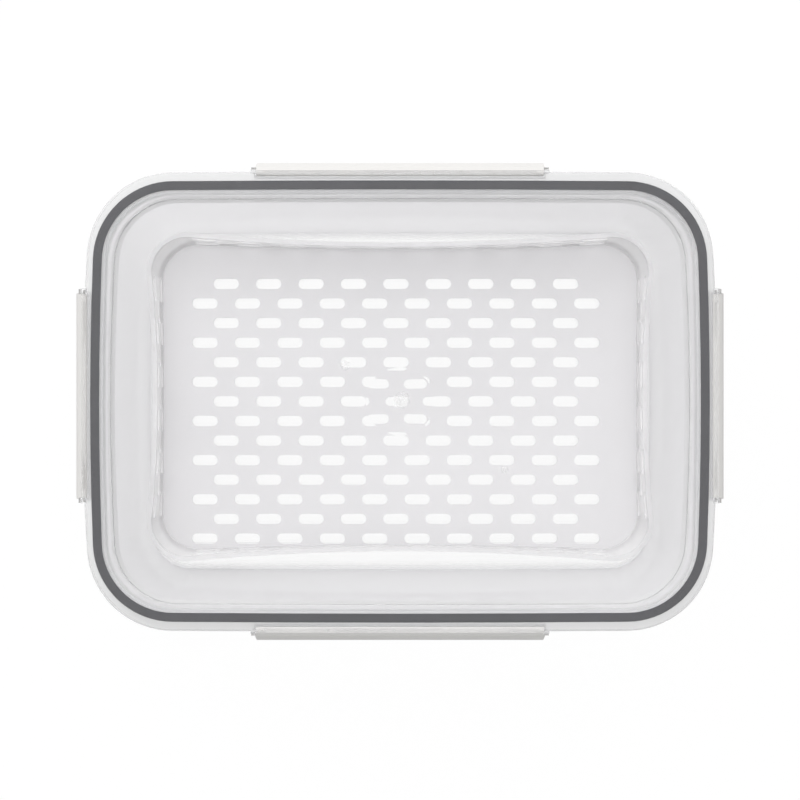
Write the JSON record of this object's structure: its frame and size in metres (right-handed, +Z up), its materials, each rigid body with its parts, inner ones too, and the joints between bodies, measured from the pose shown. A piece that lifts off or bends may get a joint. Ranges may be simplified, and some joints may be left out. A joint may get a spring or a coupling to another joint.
{
  "type": "airtight container with drain basket",
  "caption": "Clear rectangular food box with a sealed clip-on lid, snap latches on its sides and a slotted lift-out drain basket inside.",
  "frame": {"origin": "middle of the foot's resting face, at the surface it stands on", "axes": "+X along the long side towards the right latch, +Y towards the back latch, +Z up"},
  "size_m": [0.2522, 0.1858, 0.082],
  "materials": {
    "clear_plastic": "clear, glossy",
    "milky_plastic": "milky translucent, satin",
    "clear_lid_plastic": "clear, glossy",
    "grey_silicone": "dark grey silicone, matte",
    "latch_plastic": "clear, glossy"
  },
  "bodies": {
    "container": {"container": "clear_plastic"},
    "drain_basket": {"drain_basket": "milky_plastic"},
    "lid": {"lid": "clear_lid_plastic", "lid_gasket": "grey_silicone"},
    "latch_front": {"latch_front": "latch_plastic"},
    "latch_back": {"latch_back": "latch_plastic"},
    "latch_left": {"latch_left": "latch_plastic"},
    "latch_right": {"latch_right": "latch_plastic"}
  },
  "joints": [
    {"name": "lid_lift", "type": "slide", "parent": "container", "child": "lid", "axis": [0, 0, 1], "range_m": [0, 0.05]},
    {"name": "basket_lift", "type": "slide", "parent": "container", "child": "drain_basket", "axis": [0, 0, 1], "range_m": [0, 0.075]},
    {"name": "front_latch_hinge", "type": "hinge", "parent": "lid", "child": "latch_front", "pos_m": [0, -0.0867, 0.0807], "axis": [-1, 0, 0], "range_deg": [0, 120]},
    {"name": "back_latch_hinge", "type": "hinge", "parent": "lid", "child": "latch_back", "pos_m": [0, 0.0867, 0.0807], "axis": [1, 0, 0], "range_deg": [0, 120]},
    {"name": "left_latch_hinge", "type": "hinge", "parent": "lid", "child": "latch_left", "pos_m": [-0.1199, 0, 0.0807], "axis": [0, 1, 0], "range_deg": [0, 120]},
    {"name": "right_latch_hinge", "type": "hinge", "parent": "lid", "child": "latch_right", "pos_m": [0.1199, 0, 0.0807], "axis": [0, -1, 0], "range_deg": [0, 120]}
  ],
  "couplings": [
    {"joint": "basket_lift", "follows": "lid_lift", "ratio": 1.5},
    {"joint": "front_latch_hinge", "follows": "lid_lift", "rad_per_m": 41.887},
    {"joint": "back_latch_hinge", "follows": "lid_lift", "rad_per_m": 41.887},
    {"joint": "left_latch_hinge", "follows": "lid_lift", "rad_per_m": 41.887},
    {"joint": "right_latch_hinge", "follows": "lid_lift", "rad_per_m": 41.887}
  ]
}
